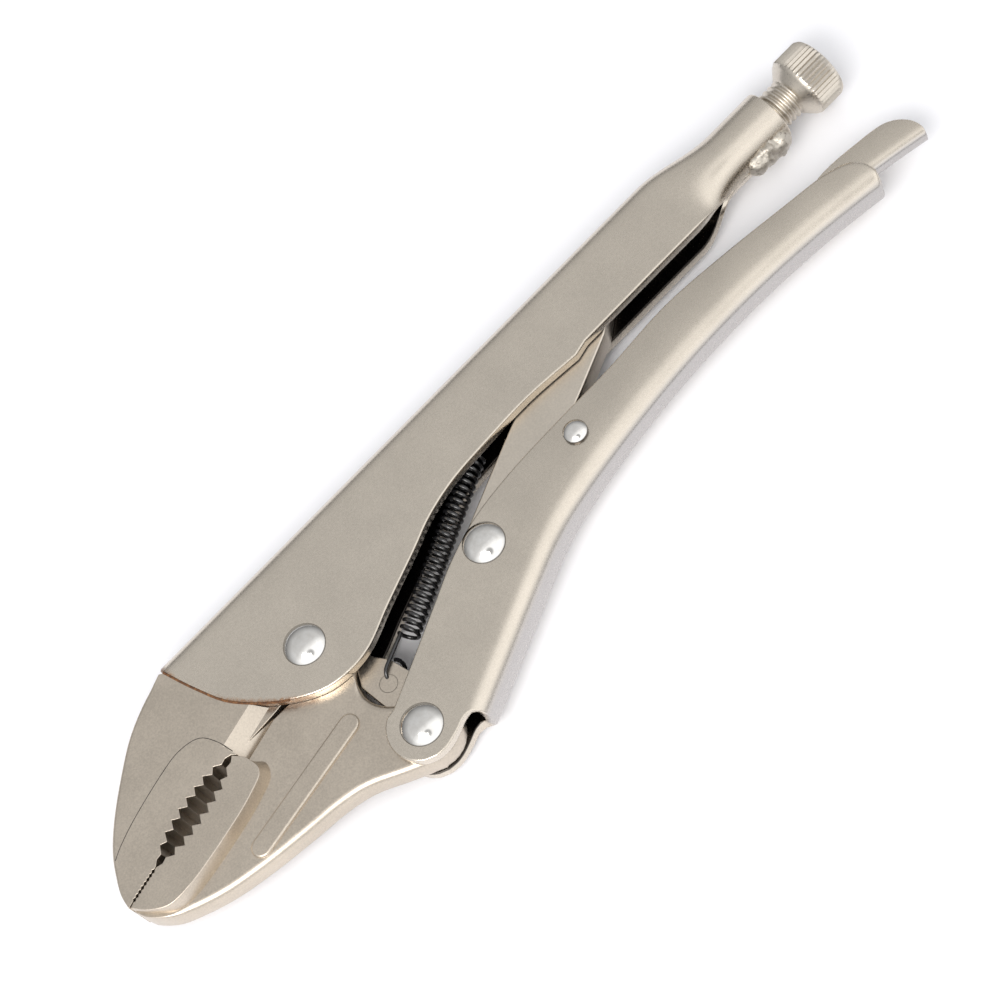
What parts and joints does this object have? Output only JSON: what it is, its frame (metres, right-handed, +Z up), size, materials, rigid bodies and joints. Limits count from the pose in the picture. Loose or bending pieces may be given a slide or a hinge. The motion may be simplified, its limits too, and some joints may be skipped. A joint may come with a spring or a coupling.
{
  "type": "locking pliers",
  "caption": "Curved-jaw locking pliers with pressed channel handles, toggle link, release lever, adjusting screw and tension spring",
  "frame": {"origin": "centre of the bounding box in X and Y, at the bottom of the lower rivet heads on which the pliers lie", "axes": "+X from the jaws to the adjusting knob, +Y from the moving handle to the fixed handle's spine, +Z up along the rivets"},
  "size_m": [0.2464, 0.0666, 0.0166],
  "materials": {
    "plated_sheet": "satin nickel plate on pressed sheet",
    "forged_steel": "satin nickel plate on a forging",
    "weld_bead": "rough weld",
    "screw_steel": "satin plated, rolled thread and straight knurl",
    "black_oxide": "black oxide spring wire",
    "rivet_chrome": "polished"
  },
  "bodies": {
    "fixed_handle": {"upper_handle": "plated_sheet", "fixed_jaw": "forged_steel", "collar_weld": "weld_bead", "jaw_pivot_rivet": "rivet_chrome", "tension_spring": "black_oxide"},
    "moving_jaw": {"lower_jaw": "forged_steel"},
    "moving_handle": {"lower_handle": "plated_sheet", "handle_pivot_rivet": "rivet_chrome", "toggle_rivet": "rivet_chrome", "lever_rivet": "rivet_chrome"},
    "toggle": {"toggle_link": "forged_steel"},
    "lever": {"release_lever": "plated_sheet"},
    "screw": {"adjusting_screw": "screw_steel"}
  },
  "joints": [
    {"name": "handle_pivot", "type": "hinge", "parent": "moving_jaw", "child": "moving_handle", "pos_m": [-0.0514, -0.02433, 0.0083], "axis": [0, 0, -1], "range_deg": [0, 45]},
    {"name": "jaw_pivot", "type": "hinge", "parent": "fixed_handle", "child": "moving_jaw", "pos_m": [-0.0566, 0.00967, 0.0083], "axis": [0, 0, 1], "range_deg": [0, 13], "deforming": ["tension_spring"]},
    {"name": "toggle_pivot", "type": "hinge", "parent": "moving_handle", "child": "toggle", "pos_m": [-0.0135, -0.00433, 0.0083], "axis": [0, 0, 1], "range_deg": [0, 53.5]},
    {"name": "release_lever", "type": "hinge", "parent": "moving_handle", "child": "lever", "pos_m": [0.0183, -0.00113, 0.0083], "axis": [0, 0, 1], "range_deg": [0, 6]},
    {"name": "adjusting_screw", "type": "slide", "parent": "fixed_handle", "child": "screw", "axis": [1, 0, 0], "range_m": [0, 0.025]}
  ],
  "couplings": [
    {"joint": "jaw_pivot", "follows": "handle_pivot", "ratio": 0.2884},
    {"joint": "toggle_pivot", "follows": "handle_pivot", "ratio": 1.1813}
  ]
}
